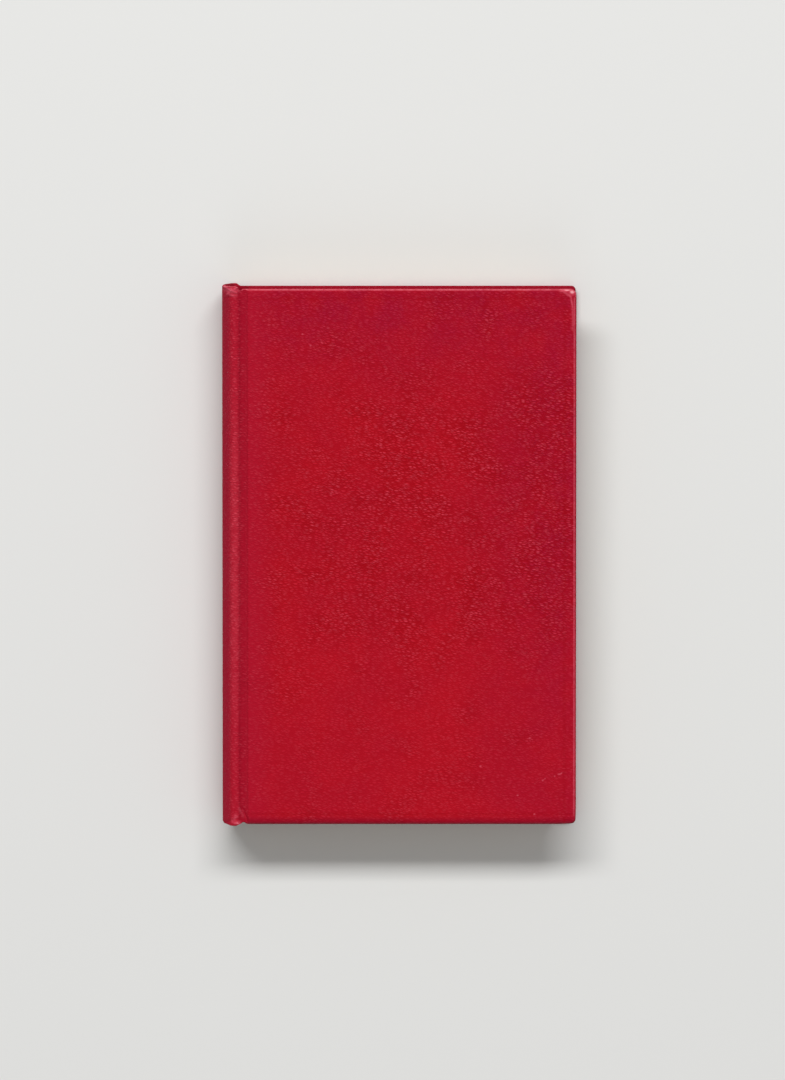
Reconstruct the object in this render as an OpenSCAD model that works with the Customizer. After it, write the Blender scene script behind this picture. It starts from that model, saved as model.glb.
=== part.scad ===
// Small case-bound hardback with a rounded and backed spine, lying on its back cover.
// The head points to +Y, the fore-edge to +X and the front cover faces up.

/* [Text block] */
// Height of the leaves, head to tail
leaf_h = 142; // [110:1:180]
// Width of the leaves, fold to fore-edge
leaf_w = 91; // [70:1:130]
// Thickness of the pages between the two flyleaves
block_t = 11.5; // [9:0.5:20]

/* [Cover] */
// How far the covers stand past the leaves at head and tail
square_ends = 2.5; // [2:0.1:4]
// How far the covers stand past the leaves at the fore-edge
square_fore = 3; // [2:0.1:5]
// Thickness of the boards
board_t = 2; // [1.6:0.1:3]
// Thickness of the covering cloth
cloth_t = 0.35; // [0.25:0.05:0.45]
// Rounding along the edges of the boards
edge_r = 0.5; // [0.3:0.1:0.7]
// Corner radius of the boards at the fore-edge
corner_r = 0.8; // [0.5:0.1:4]
// Corner radius of the boards beside the joint
joint_corner_r = 2; // [1:0.1:5]
// Depth of the cloth that is turned in over the boards
turn_in = 12; // [8:0.5:16]

/* [Spine and joints] */
// How far the spine bulges past the crests of its two ridges
spine_rise = 3.7; // [3.2:0.1:5]
// Outer radius of the ridge that the cloth makes over each shoulder
ridge_r = 1.8; // [1.6:0.1:2.2]
// How far the ridges lie below the face of the covers
ridge_drop = 0.1; // [0.05:0.05:0.3]
// Outer radius of the groove between ridge and board
groove_r = 1.6; // [1.2:0.1:2.2]
// Depth of the groove below the ridge
groove_depth = 0.72; // [0.4:0.02:0.9]
// How far the head and tail caps stand past the covers
cap_out = 0.7; // [0.3:0.1:1.5]
// How far the cloth in a joint is pinched in at head and tail
nip_depth = 0.4; // [0.2:0.1:0.8]
// Thickness of the card strip in the spine
card_t = 0.4; // [0.3:0.05:0.6]
// Width of the card strip, measured round the spine
card_w = 14; // [9:0.5:16]
// Gap between the card strip's turned-in cloth and the lined back
hollow = 0.25; // [0.15:0.05:0.6]

/* [Linings] */
// Thickness of the endpapers
paper_t = 0.15; // [0.1:0.05:0.25]
// Thickness of the open-weave mull glued to the back
mull_t = 0.2; // [0.15:0.05:0.3]
// Gap between the mull and the turned-in cloth at head and tail
mull_gap = 1.5; // [1:0.5:10]
// Width of the mull's flap on each board
flap_w = 20; // [10:1:30]
// Thickness of the paper lining over the mull
lining_t = 0.15; // [0.1:0.05:0.25]
// Radius of the headband's bead
bead_r = 0.55; // [0.4:0.05:0.8]
// Height of the headband's tape on the back
tape_h = 8; // [4:0.5:10]

/* [Fits] */
// Glue film between glued layers
glue_t = 0.02; // [0.01:0.01:0.05]
// Gap between a closed cover and the flyleaf under it
rest_gap = 0.15; // [0.1:0.05:0.3]
// Gap between the shoulders and the cloth that moves past them
joint_gap = 0.2; // [0.15:0.05:0.3]
// Gap where the cloth of a cover parts from the cloth of the spine
split_gap = 0.1; // [0.05:0.05:0.2]
// Height of the hinge line above the face of the cover
hinge_lift = 0.07; // [0.05:0.01:0.2]

/* [Hidden] */

cloth_red = [0.65, 0.08, 0.16];
page_cream = [0.93, 0.90, 0.81];
endpaper_white = [0.95, 0.93, 0.87];
board_grey = [0.60, 0.57, 0.51];
lining_brown = [0.72, 0.60, 0.44];
mull_white = [0.88, 0.87, 0.80];
band_cream = [0.90, 0.86, 0.74];

// Degrees of arc for each straight edge of an outline
arc_step = 10;
// Overlap that lets one cut run past the face that it opens
over = 1;

// Cloth with its glue, the doubled cloth of a turn-in, and the board's outer lip with cloth on it
skin_t = cloth_t + glue_t;
fold_t = 2 * cloth_t + glue_t;
lip_r = edge_r + skin_t;

// Heights above the middle of the book, from the pages outwards
page_z = block_t / 2;
flyleaf_z = page_z + glue_t + paper_t;
turn_z = flyleaf_z + rest_gap + paper_t + glue_t;
board_z = turn_z + skin_t;
cover_z = board_z + board_t + skin_t;

// Spine: one arc between two ridges, each ridge touching the arc from inside
ridge_z = cover_z - ridge_drop - ridge_r;
spine_r = (pow(spine_rise, 2) + pow(ridge_z, 2) - pow(ridge_r, 2)) / (2 * (spine_rise - ridge_r));
ridge_reach = spine_r - ridge_r;
ridge_a = acos((spine_r - spine_rise) / ridge_reach);
card_r = spine_r - skin_t;
cap_in_r = card_r - card_t - skin_t;
lining_r = cap_in_r - hollow;
mull_r = lining_r - lining_t - glue_t;
back_r = mull_r - mull_t - glue_t;

// Widths, from the outermost point of the spine to the fore-edge of the covers
page_sag = back_r - sqrt(pow(back_r, 2) - pow(page_z, 2));
book_w = (spine_r - back_r) + leaf_w + page_sag + square_fore;
spine_x = spine_r - book_w / 2;
ridge_x = spine_rise - book_w / 2;
fore_x = spine_x + leaf_w - sqrt(pow(back_r, 2) - pow(page_z, 2));

// Joint: ridge, groove and board lip follow one another as tangent arcs
slope_in = acos(1 - groove_depth / (ridge_r + groove_r));
slope_out = acos(1 - (groove_depth + ridge_drop) / (groove_r + lip_r));
// Hinge line: above the point where the ridge passes into the groove
hinge_x = ridge_x + ridge_r * sin(slope_in);
hinge_z = cover_z + hinge_lift;
groove_x = ridge_x + (ridge_r + groove_r) * sin(slope_in);
groove_z = cover_z - ridge_drop - groove_depth + groove_r;
lip_x = groove_x + (groove_r + lip_r) * sin(slope_out);
split_a = split_gap / groove_r * 180 / PI;

// Boards and the cloth round them
board_x0 = lip_x - edge_r;
board_x1 = book_w / 2 - skin_t;
cover_h = leaf_h + 2 * square_ends;
board_h = cover_h - 2 * skin_t;
cap_h = cover_h + 2 * cap_out;
side_x = board_x0 - skin_t;
turn_x = book_w / 2 - turn_in;
turn_y = cover_h / 2 - turn_in;
mull_h = 2 * (turn_y - mull_gap);

// What the pastedown drapes over, measured from the paper's own face on the board
turned_t = cloth_t + glue_t;
flap_t = mull_t + glue_t;
drape_t = paper_t + glue_t;

// Shoulders of the text block, under the ridges
shoulder_r = ridge_r - fold_t - joint_gap;
shoulder_lean = acos((pow(ridge_reach, 2) + pow(shoulder_r, 2) - pow(back_r, 2))
                     / (2 * ridge_reach * shoulder_r));
tip_a = max(shoulder_lean - ridge_a, 90 - slope_in);
tip = [ridge_x + shoulder_r * cos(tip_a), ridge_z + shoulder_r * sin(tip_a)];
back_a = atan2(tip[1], spine_x - tip[0]);
flank_x = side_x - joint_gap;
flank_r = 0.3;
flank_base_r = 0.5;
lining_a = back_a - 1.5;
band_a = back_a - 3;
card_a = card_w / 2 / card_r * 180 / PI;
card_turn_a = card_a + skin_t / cap_in_r * 180 / PI;

// Points of an arc from angle a0 to angle a1
function arc(centre, r, a0, a1) =
    let (n = max(1, ceil(abs(a1 - a0) / arc_step)))
    [for (i = [0:n]) let (a = a0 + (a1 - a0) * i / n) centre + r * [cos(a), sin(a)]];

function reversed(points) = [for (i = [len(points) - 1:-1:0]) points[i]];

function flipped(points) = [for (p = reversed(points)) [p[0], -p[1]]];

// Rectangle with true arcs at its corners, of one radius at low x and another at high x
module rounded(low, high, r_low, r_high) {
    size = high - low;
    translate(low + [r_low, 0]) square([size[0] - r_low - r_high, size[1]]);
    translate(low + [0, r_low]) square([size[0] / 2, size[1] - 2 * r_low]);
    translate(low + [size[0] / 2, r_high]) square([size[0] / 2, size[1] - 2 * r_high]);
    for (y = [low[1] + r_low, high[1] - r_low]) translate([low[0] + r_low, y]) circle(r_low, $fn = 48);
    for (y = [low[1] + r_high, high[1] - r_high]) translate([high[0] - r_high, y]) circle(r_high, $fn = 48);
}

// Cross-section in X and Z, carried along Y for a length
module along_y(length) { rotate([90, 0, 0]) linear_extrude(length, center = true) children(); }

// Cross-section in Y and Z, carried along X from x0 to x1
module along_x(x0, x1) { translate([x0, 0, 0]) rotate([90, 0, 90]) linear_extrude(x1 - x0) children(); }

// Profile in radius and Y, carried round an axis along Y at (x, z) from angle a0 to a1
module round_y(x, z, a0, a1) {
    translate([x, 0, z]) rotate([90, 0, 0]) rotate([0, 0, a0])
        rotate_extrude(angle = a1 - a0, $fn = 96) children();
}

// Profile carried round the spine, the same angle to each side of its middle
module round_spine(a) { round_y(spine_x, 0, 180 - a, 180 + a) children(); }

// Profile of a plain layer in radius and Y, between two radii
module layer(r0, r1, height) { translate([r0, -height / 2]) square([r1 - r0, height]); }

// Children at the front cover, or turned over to the back cover
module at_front() { translate([0, 0, cover_z]) children(); }
module at_back() { translate([0, 0, cover_z]) mirror([0, 0, 1]) children(); }

// TEXT BLOCK: the leaves are bent over into a shoulder at each side of the back
function shoulder_outline() = concat(
    arc([ridge_x, ridge_z], shoulder_r, tip_a, 90 - slope_in),
    groove_under(joint_gap, flank_x - flank_r),
    arc([flank_x - flank_r, under_groove_z(flank_x - flank_r) - flank_r], flank_r, 90, 0),
    arc([flank_x + flank_base_r, page_z + flank_base_r], flank_base_r, 180, 270));

function under_groove_z(x) =
    groove_z - sqrt(pow(groove_r + fold_t + joint_gap, 2) - pow(x - groove_x, 2));

// Arc below the doubled cloth of the groove, at a gap, as far as x
function groove_under(gap, x) =
    let (r = groove_r + fold_t + gap)
    arc([groove_x, groove_z], r, 270 - slope_in + split_a * 0.5, 270 + asin((x - groove_x) / r));

module text_block() {
    page_a = asin(page_z / back_r);
    outline = concat(
        arc([spine_x, 0], back_r, 180 + back_a, 180 - back_a),
        shoulder_outline(),
        arc([spine_x + leaf_w, 0], back_r, 180 - page_a, 180 + page_a),
        flipped(shoulder_outline()));
    color(page_cream) at_front() along_y(leaf_h) polygon(outline);
}

// ENDPAPERS: each folded sheet is a flyleaf on the pages and a pastedown on the board
module flyleaf() {
    color(endpaper_white) translate([flank_x + flank_base_r, -leaf_h / 2, page_z + glue_t])
        cube([fore_x - flank_x - flank_base_r, leaf_h, paper_t]);
}

// The pastedown drapes over the turned-in cloth and over the mull's flap
module pastedown() {
    color(endpaper_white) difference() {
        union() {
            under_board(lip_x, fore_x, leaf_h, 0, paper_t);
            difference() {
                under_board(lip_x, fore_x, leaf_h, 0, turned_t + paper_t);
                under_board(lip_x - over, turn_x - drape_t, 2 * (turn_y - drape_t), over,
                            turned_t + 2 * over);
            }
            under_board(lip_x, board_x0 + flap_w + drape_t, mull_h + 2 * drape_t, 0, flap_t + paper_t);
        }
        difference() {
            under_board(lip_x - over, fore_x + over, leaf_h + 2 * over, over, turned_t + over);
            under_board(lip_x - 2 * over, turn_x - glue_t, 2 * (turn_y - glue_t), 2 * over,
                        turned_t + 4 * over);
        }
        under_board(lip_x - over, board_x0 + flap_w + glue_t, mull_h + 2 * glue_t, over, flap_t + over);
    }
}

// Box under the board and its glue, from x0 to x1. It starts a rise higher and has its own thickness.
module under_board(x0, x1, height, rise, thickness) {
    translate([x0, -height / 2, board_z - glue_t + rise - thickness]) cube([x1 - x0, height, thickness]);
}

// LININGS: mull and paper round the back, headbands at its ends, and the mull's flap on the board
module spine_mull() {
    color(mull_white) at_front() round_spine(lining_a) layer(back_r + glue_t, mull_r, mull_h);
}

module spine_lining() {
    color(lining_brown) at_front() round_spine(lining_a) layer(mull_r + glue_t, lining_r, leaf_h - 1);
}

module mull_flap() {
    color(mull_white) under_board(lip_x, board_x0 + flap_w, mull_h, 0, mull_t);
}

module head_band() {
    bead_y = leaf_h / 2 + glue_t + bead_r;
    color(band_cream) at_front() round_spine(band_a) {
        translate([mull_r - bead_r, bead_y]) circle(bead_r, $fn = 48);
        translate([back_r + glue_t, leaf_h / 2 - tape_h]) square([mull_t, bead_y - leaf_h / 2 + tape_h]);
    }
}

// SPINE OF THE CASE: card strip inside cloth that is turned in over its two ends
module spine_card() {
    color(board_grey) at_front() round_spine(card_a) layer(card_r - card_t, card_r, board_h);
}

// Profile in radius and Y of doubled cloth: round at both ends, and single between the turn-ins.
// The turned-in layer lies on the side of the lower radius, or of the higher one if inward is false.
module fold_profile(r0, r1, height, inward = true) {
    r = fold_t / 2;
    y = height / 2 - r;
    difference() {
        polygon(concat(
            arc([r0 + r, -y], r, 270, 180), arc([r0 + r, y], r, 180, 90),
            arc([r1 - r, y], r, 90, 0), arc([r1 - r, -y], r, 0, -90)));
        translate([inward ? r0 - over : r0 + cloth_t, turn_in - height / 2])
            square([r1 - r0 - cloth_t + over, height - 2 * turn_in]);
    }
}

module spine_cloth() {
    color(cloth_red) at_front() difference() {
        union() {
            round_spine(ridge_a) fold_profile(spine_r - fold_t, spine_r, cap_h);
            round_spine(card_turn_a) fold_profile(cap_in_r, spine_r, cap_h);
            for (side = [1, -1]) scale([1, 1, side])
                round_y(ridge_x, ridge_z, 90 - slope_in, 180 - ridge_a)
                    fold_profile(ridge_r - fold_t, ridge_r, cap_h);
        }
        round_spine(card_a + glue_t / card_r * 180 / PI)
            layer(card_r - card_t - glue_t, spine_r - cloth_t, cap_h - 2 * cloth_t);
    }
}

// COVERS: a board, and cloth that runs from the groove over the board and is turned in on three sides
module board_shape(grow) {
    r = edge_r + grow;
    low = [board_x0 - grow, -board_h / 2 - grow, board_z - grow];
    high = [board_x1 + grow, board_h / 2 + grow, board_z + board_t + grow];
    intersection() {
        along_y(cover_h + over) rounded([low[0], low[2]], [high[0], high[2]], r, r);
        along_x(low[0] - over, high[0] + over) rounded([low[1], low[2]], [high[1], high[2]], r, r);
        translate([0, 0, low[2] - over]) linear_extrude(high[2] - low[2] + 2 * over)
            rounded([low[0], low[1]], [high[0], high[1]], joint_corner_r + grow, corner_r + grow);
    }
}

module board() { color(board_grey) board_shape(0); }

module at_ends(y) { for (side = [1, -1]) scale([1, side, 1]) translate([0, y, 0]) children(); }

module cloth() {
    lip = [lip_x, cover_z - lip_r];
    color(cloth_red) difference() {
        union() {
            difference() {
                board_shape(skin_t);
                along_y(2 * turn_y) polygon([
                    lip, lip + board_t * [-sin(slope_out), cos(slope_out)],
                    [side_x - over, turn_z - over], [lip_x, turn_z - over]]);
            }
            round_y(groove_x, groove_z, 270 - slope_in + split_a, 270 + slope_out)
                fold_profile(groove_r, groove_r + fold_t, cover_h - 2 * nip_depth, false);
        }
        board_shape(glue_t);
        translate([lip_x, -turn_y, turn_z - over]) cube([turn_x - lip_x, 2 * turn_y, board_t]);
        mitre_slits();
    }
}

// The turned-in cloth is cut at 45 degrees where two turn-ins meet, and the cuts show as fine lines
module mitre_slits() {
    slit_w = 0.1;
    at_ends(turn_y) translate([turn_x, 0, turn_z - over]) rotate([0, 0, 45])
        translate([-over, -slit_w / 2, 0]) cube([turn_in * sqrt(2) - over, slit_w, cloth_t + over]);
}

text_block();
at_front() flyleaf();  // front_flyleaf
at_back() flyleaf();  // back_flyleaf
spine_mull();
spine_lining();
head_band();  // headband
mirror([0, 1, 0]) head_band();  // tailband
spine_card();
spine_cloth();
at_front() board();  // front_board
at_front() cloth();  // front_cloth
at_front() mull_flap();  // front_mull_flap
at_front() pastedown();  // front_pastedown
at_back() board();  // back_board
at_back() cloth();  // back_cloth
at_back() mull_flap();  // back_mull_flap
at_back() pastedown();  // back_pastedown
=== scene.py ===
import math

import bmesh
import bpy
import numpy as np
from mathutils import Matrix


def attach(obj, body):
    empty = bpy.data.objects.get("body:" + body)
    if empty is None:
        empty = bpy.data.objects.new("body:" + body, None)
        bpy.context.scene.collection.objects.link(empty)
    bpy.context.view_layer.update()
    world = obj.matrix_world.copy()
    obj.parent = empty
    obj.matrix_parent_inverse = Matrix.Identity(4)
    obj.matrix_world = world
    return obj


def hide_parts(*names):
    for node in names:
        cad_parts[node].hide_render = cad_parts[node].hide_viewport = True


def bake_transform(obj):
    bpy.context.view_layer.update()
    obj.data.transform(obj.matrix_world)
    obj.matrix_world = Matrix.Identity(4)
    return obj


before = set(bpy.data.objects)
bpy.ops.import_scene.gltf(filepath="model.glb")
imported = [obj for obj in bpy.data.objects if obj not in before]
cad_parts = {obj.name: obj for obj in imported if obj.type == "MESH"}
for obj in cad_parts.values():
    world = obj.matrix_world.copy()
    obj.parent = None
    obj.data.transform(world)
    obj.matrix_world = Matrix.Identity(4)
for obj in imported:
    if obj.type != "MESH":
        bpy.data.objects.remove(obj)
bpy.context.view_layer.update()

# Driving sizes in millimetres, in the book's own frame: X to the fore-edge, Y to the head, Z up
book = {
    "leafHeight": 142.0, "leafWidth": 91.0, "pages": 11.5, "squareEnds": 2.5, "squareFore": 3.0,
    "board": 2.0, "boardRound": 0.5, "cloth": 0.35, "paper": 0.15, "glue": 0.02, "restGap": 0.15,
    "spineRise": 3.7, "ridgeR": 1.8, "ridgeDrop": 0.1, "grooveR": 1.6, "grooveDepth": 0.72,
    "card": 0.4, "hollow": 0.25, "lining": 0.15, "mull": 0.2, "capOut": 0.7, "turnIn": 12.0,
}
mm = 0.001
mergeWithin, leastEdge = 2e-6, 1e-7 # in metres, for points that meet and for edges too short to keep


def sizesThatFollow(b):
    # Heights add up from the pages outwards, and widths from the spine to the fore-edge. The spine's arc
    # touches both ridges from outside. Ridge, groove and board lip are circles that touch one another, so
    # the slope where two of them meet is acos(1 - drop / (r1 + r2)).
    skin = b["cloth"] + b["glue"]
    lipR = b["boardRound"] + skin
    turnRise = b["pages"] / 2 + 2 * (b["paper"] + b["glue"]) + b["restGap"]
    middleZ = turnRise + 2 * skin + b["board"]
    ridgeRise = middleZ - b["ridgeDrop"] - b["ridgeR"]
    spineR = (b["spineRise"] ** 2 + ridgeRise ** 2 - b["ridgeR"] ** 2) / (2 * (b["spineRise"] - b["ridgeR"]))
    backDepth = 2 * skin + b["card"] + b["hollow"] + b["lining"] + b["mull"] + 2 * b["glue"]
    backR = spineR - backDepth
    pageSag = backR - math.sqrt(backR ** 2 - (b["pages"] / 2) ** 2)
    foreX = (backDepth + b["leafWidth"] + pageSag + b["squareFore"]) / 2
    slopeIn = math.acos(1 - b["grooveDepth"] / (b["ridgeR"] + b["grooveR"]))
    slopeOut = math.acos(1 - (b["grooveDepth"] + b["ridgeDrop"]) / (b["grooveR"] + lipR))
    ridgeX = b["spineRise"] - foreX
    grooveX = ridgeX + (b["ridgeR"] + b["grooveR"]) * math.sin(slopeIn)
    lipX = grooveX + (b["grooveR"] + lipR) * math.sin(slopeOut)
    return {
        "fold": skin + b["cloth"], "middleZ": middleZ, "topZ": 2 * middleZ, "turnZ": middleZ + turnRise,
        "foreX": foreX, "coverY": b["leafHeight"] / 2 + b["squareEnds"],
        "spineR": spineR, "spineX": spineR - foreX, "ridgeX": ridgeX, "ridgeZ": middleZ + ridgeRise,
        "ridgeAngle": math.degrees(math.acos((spineR - b["spineRise"]) / (spineR - b["ridgeR"]))),
        "grooveX": grooveX, "grooveZ": 2 * middleZ - b["ridgeDrop"] - b["grooveDepth"] + b["grooveR"],
        "slopeIn": math.degrees(slopeIn), "slopeOut": math.degrees(slopeOut),
        "lipR": lipR, "lipX": lipX, "sideX": lipX - lipR,
    }


book.update(sizesThatFollow(book))
print("book worked out, half width", round(book["foreX"], 3), "and height", round(book["topZ"], 3))


def smoothStep(x, low, high):
    # 0 below low, 1 above high, and the cubic 3t^2 - 2t^3 between them
    t = np.clip((x - low) / (high - low), 0, 1)
    return t * t * (3 - 2 * t)


def hump(x, middle, width):
    # Gaussian that is 1 at the middle and falls to 1/e at the width
    return np.exp(-((x - middle) / width) ** 2)


def waves(x, y, length, seed):
    # Sum of nine sine waves of random direction, with lengths near the given one, from about -1 to 1
    rng = np.random.default_rng(seed)
    angles, phases, stretches = rng.uniform(0, math.pi, 9), rng.uniform(0, 6.28, 9), rng.uniform(0.7, 1.6, 9)
    total = np.zeros(np.broadcast(x, y).shape)
    for angle, phase, stretch in zip(angles, phases, stretches):
        along = x * math.cos(angle) + y * math.sin(angle)
        total = total + np.sin(2 * math.pi * along / (length * stretch) + phase)
    return total / 4


def creaseShape(x, y, x0, y0, x1, y1, width):
    # Gaussian of the distance from a point to the crease's straight line, fading past its ends
    along = np.array([x1 - x0, y1 - y0])
    length = np.hypot(*along)
    t = ((x - x0) * along[0] + (y - y0) * along[1]) / length ** 2
    across = ((x - x0) * along[1] - (y - y0) * along[0]) / length
    past = np.clip(np.abs(t - 0.5) - 0.5, 0, None) * length
    return hump(across, 0, width) * hump(past, 0, 1.5 * width)


def xyz(x, y, z):
    # Points from three coordinates, each an array or one number for all
    return np.stack(np.broadcast_arrays(x, y, z), axis=-1)


def arc(x, z, r, angles):
    # Points of a circle round (x, z) at angles in degrees
    a = np.radians(angles)
    return np.stack([x + r * np.cos(a), z + r * np.sin(a)], axis=1)


def gridFaces(rows, columns, start=0):
    # Quads of a grid whose points are numbered row by row
    first = (np.arange(rows - 1)[:, None] * columns + np.arange(columns - 1)[None, :]).ravel() + start
    return np.stack([first, first + 1, first + columns + 1, first + columns], axis=1)


def makeSheet(name, points, faces, facesUp, thickness, attributes=None):
    # Points in millimetres become a mesh in metres. Points that meet are merged, so seams are closed. The
    # face nearest the middle shows which way all of them point, and the thickness lies behind them.
    mesh = bpy.data.meshes.new(name)
    mesh.from_pydata((points * mm).tolist(), [], faces.tolist())
    for key, values in (attributes or {}).items():
        mesh.attributes.new(key, "FLOAT", "POINT").data.foreach_set("value", values.astype(np.float32))
    work = bmesh.new()
    work.from_mesh(mesh)
    bmesh.ops.remove_doubles(work, verts=work.verts, dist=mergeWithin)
    bmesh.ops.dissolve_degenerate(work, edges=work.edges, dist=leastEdge)
    bmesh.ops.recalc_face_normals(work, faces=work.faces)
    work.to_mesh(mesh)
    work.free()
    mesh.shade_smooth()
    middle = min(mesh.polygons, key=lambda face: abs(face.center.x) + abs(face.center.y))
    if (middle.normal.z > 0) != facesUp:
        mesh.flip_normals()
    sheet = bpy.data.objects.new(name, mesh)
    bpy.context.scene.collection.objects.link(sheet)
    solid = sheet.modifiers.new("thickness", "SOLIDIFY")
    solid.thickness = thickness * mm
    solid.offset = -1
    return sheet


# Covering cloth: outer face of the case from the middle of the spine to the fore-edge, for one cover
clothSizes = {
    "fieldX": 44.6, "fieldY": 69.6, "cornerR": 1.17, # half the plain field inside the rim, and the corners
    "cardEnd": (25.5, 27.2), # degrees round the spine between which the card and its cloth end
    "sideTop": 16.63, # height at which the joint's doubled cloth meets the board's side
    "capEnd": (-44.9, -43.2), # X between which the caps over the spine end
    "tailCap": 0.22, "roundFrom": -46.1, "tailRound": 0.36, # the tail's lower cap, and its rounded corner
    "headNip": (-43.1, 0.4, 0.3), "tailNip": (-42.65, 0.55, 0.48), # pinched joint: X, half width and depth
    "mitreGap": 0.1, "cornerTurn": 1.05, "leastTurn": 0.3, # how the turn-ins end at the corners
    "bulge": 0.05, "bulgeLength": 38.0, "calm": 6.0, # slow waves, and how far from an edge they fade
    "calmFrom": -41.5, "calmSlope": 0.3, # the same beside the joint, where they fade faster
    "frontSeed": 3, "backSeed": 8, # of the slow waves
    "sinkFore": (3.1, 0.035), "sinkEnds": (2.7, 0.03), # give where the pages end: from the edge, and depth
    "sinkWidth": 0.5, "sinkFrom": -41.0,
    "bend": (-44.4, -41.85), # X between which the cloth bends as a cover opens
}
# Steps of the cloth's grid: along the face, in half its height, on lines from field to rim, in the edge's
# two roundings, in a corner and beside it. Powers above 1 bring rows together where the cloth curves.
clothSteps = {
    "face": 72, "half": 69, "halfPower": 1.35, "edge": 16, "edgePower": 1.2, "upper": 8, "lower": 6,
    "corner": 8, "cornerSides": 5, "side": (0.33, 0.67), "turnIn": (0.06, 0.2, 0.4, 0.7, 1),
}
# Shares of the way over the edge, 0 on the face, 1 at the side's top, 2 at its foot, 3 below and 4 at the
# turn-in's end: where waves and creases fade, where the cloth counts as turned in, and where rub and
# painted highlight end
clothShares = {
    "waves": (0.2, 1.0), "creases": (0.3, 1.3), "turned": (1.2, 2.4), "creaseRubAndSheen": 1.5, "patchRubAndSheen": 1.2,
}


def sectionArcs():
    # Spine, ridge, groove and board lip: centre, radius, first and last angle, steps, power that spaces them
    # and the side of the circle that faces out of the book
    b = book
    return [
        (b["spineX"], b["middleZ"], b["spineR"], 180, 180 - b["ridgeAngle"], 30, 1.25, 1),
        (b["ridgeX"], b["ridgeZ"], b["ridgeR"], 180 - b["ridgeAngle"], 90 - b["slopeIn"], 20, 1, 1),
        (b["grooveX"], b["grooveZ"], b["grooveR"], 270 - b["slopeIn"], 270 + b["slopeOut"], 18, 1, -1),
        (b["lipX"], b["topZ"] - b["lipR"], b["lipR"], 90 + b["slopeOut"], 90, 8, 1, 1),
    ]


def caseSection():
    # The section in X and Z is four arcs in a row, each tangent to the next, and then a straight line.
    # Inner points lie one fold of cloth below, and the card's thickness further where there is card. Then
    # they go down the board's side and round its lower edge.
    b, c, steps = book, clothSizes, clothSteps["face"]
    outer, normal = [], []
    for x, z, r, first, last, arcSteps, power, side in sectionArcs():
        angles = first + (last - first) * np.linspace(0, 1, arcSteps + 1) ** power
        if outer:
            angles = angles[1:] # its first point ends the arc before it
        outer.append(arc(x, z, r, angles))
        normal.append(arc(0, 0, side, angles))
    flatX = np.linspace(b["lipX"], c["fieldX"], steps + 1)[1:]
    outer.append(np.stack([flatX, np.full(steps, b["topZ"])], axis=1))
    normal.append(np.tile([0.0, 1.0], (steps, 1)))
    outer, normal = np.concatenate(outer), np.concatenate(normal)
    fromLevel = np.degrees(np.arctan2(outer[:, 1] - b["middleZ"], b["spineX"] - outer[:, 0]))
    card = (b["card"] + b["glue"]) * (1 - smoothStep(fromLevel, *c["cardEnd"]))
    inner = outer - normal * (b["fold"] + card)[:, None]
    flat = outer[:, 0] > b["lipX"] - 1e-6
    inner[flat] = np.stack([outer[flat, 0], np.full(flat.sum(), b["turnZ"])], axis=1)
    beside = (inner[:, 0] > b["sideX"] - b["glue"]) & ~flat
    lowerEdge = arc(b["lipX"], b["turnZ"] + b["lipR"], b["lipR"], np.linspace(180, 270, 8))
    path = np.concatenate([[[b["sideX"], c["sideTop"]]], lowerEdge])
    reach = np.concatenate([[0], np.cumsum(np.hypot(*np.diff(path, axis=0).T))])
    place = np.linspace(0, reach[-1], beside.sum() + 1)[:-1]
    inner[beside] = np.stack([np.interp(place, reach, path[:, k]) for k in (0, 1)], axis=1)
    return outer, inner


def endY(x, atHead, front):
    # How far the cloth reaches in Y: the cover's edge, plus the cap over the spine, less a smooth nip
    # at the front joint and, at the tail, a parabola that rounds the spine's outer corner
    b, c = book, clothSizes
    lower = 0 if atHead else c["tailCap"]
    cap = (b["capOut"] - lower) * (1 - smoothStep(x, *c["capEnd"]))
    roundTo = b["foreX"] + c["roundFrom"]
    rounded = 0 if atHead else c["tailRound"] * (np.clip(c["roundFrom"] - x, 0, None) / roundTo) ** 2
    nipX, nipWidth, nipDepth = c["headNip"] if atHead else c["tailNip"]
    return b["coverY"] + cap - rounded - front * nipDepth * hump(x, nipX, nipWidth)


def endRim(outer, inner, atHead, front):
    # One line over the edge at head or tail for each point of the section
    b, c = book, clothSizes
    x, z = outer.T
    down = inner - outer
    height = np.hypot(*down.T)
    radius = np.minimum(height / 2, b["lipR"])
    sign = 1 if atHead else -1
    mitre = np.clip(b["foreX"] - c["mitreGap"] - x, c["leastTurn"], None)
    return {
        "start": xyz(x, sign * c["fieldY"], z), "foot": xyz(x, sign * (endY(x, atHead, front) - radius), z),
        "out": xyz(0 * x, sign, 0), "way": xyz(down[:, 0] / height, 0, down[:, 1] / height),
        "height": height, "radius": radius, "turn": np.minimum(b["turnIn"], mitre),
    }


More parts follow.
